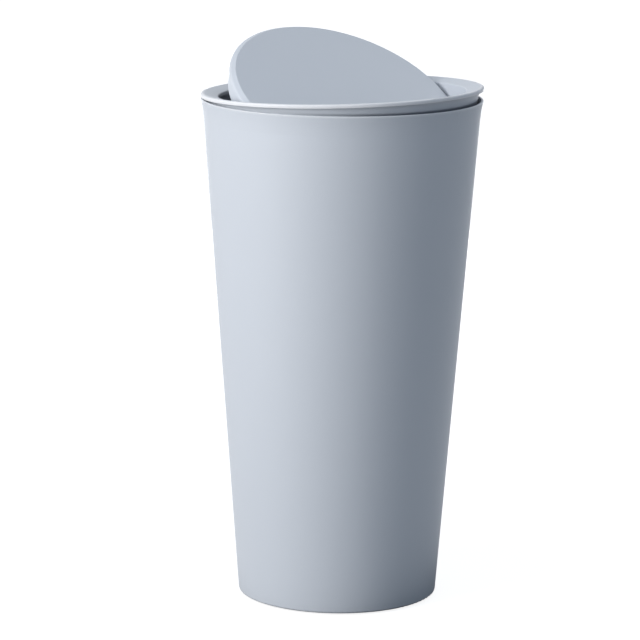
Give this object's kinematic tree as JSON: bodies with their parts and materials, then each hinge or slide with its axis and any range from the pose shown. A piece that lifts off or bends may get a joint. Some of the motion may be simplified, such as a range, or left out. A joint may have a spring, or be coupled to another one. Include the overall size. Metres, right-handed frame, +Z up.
{
  "type": "mini waste bin",
  "caption": "Small tapered round table-top waste bin with a lift-out lid ring and a flat round flap that swings in the ring about a cross pivot.",
  "frame": {"origin": "on the table under the middle of the bin", "axes": "+Z up along the bin's axis, X along the flap's pivot, -Y towards the side of the flap that is pushed in"},
  "size_m": [0.1256, 0.1255, 0.2528],
  "materials": {
    "shell_plastic": "satin pale blue-grey moulding",
    "lid_plastic": "satin pale blue-grey moulding",
    "flap_plastic": "satin pale blue-grey moulding",
    "pad_rubber": "matt non-slip pad",
    "bush_rubber": "matt soft bush",
    "pin_steel": "drawn steel pin"
  },
  "bodies": {
    "bin": {"bin_body": "shell_plastic", "foot_pad_1": "pad_rubber", "foot_pad_2": "pad_rubber", "foot_pad_3": "pad_rubber", "foot_pad_4": "pad_rubber"},
    "lid": {"lid_ring": "lid_plastic", "pivot_bush_left": "bush_rubber", "pivot_bush_right": "bush_rubber"},
    "flap": {"flap_cap": "flap_plastic", "flap_tray": "flap_plastic", "pivot_pin_left": "pin_steel", "pivot_pin_right": "pin_steel"}
  },
  "joints": [
    {"name": "lid_lift", "type": "slide", "parent": "bin", "child": "lid", "axis": [0, 0, 1], "range_m": [0, 0.08]},
    {"name": "flap_swing", "type": "hinge", "parent": "lid", "child": "flap", "pos_m": [0.00013, -0.00031, 0.22006], "axis": [0.9999, 0.0002, 0.0144], "range_deg": [-122.7, 57.3]}
  ]
}
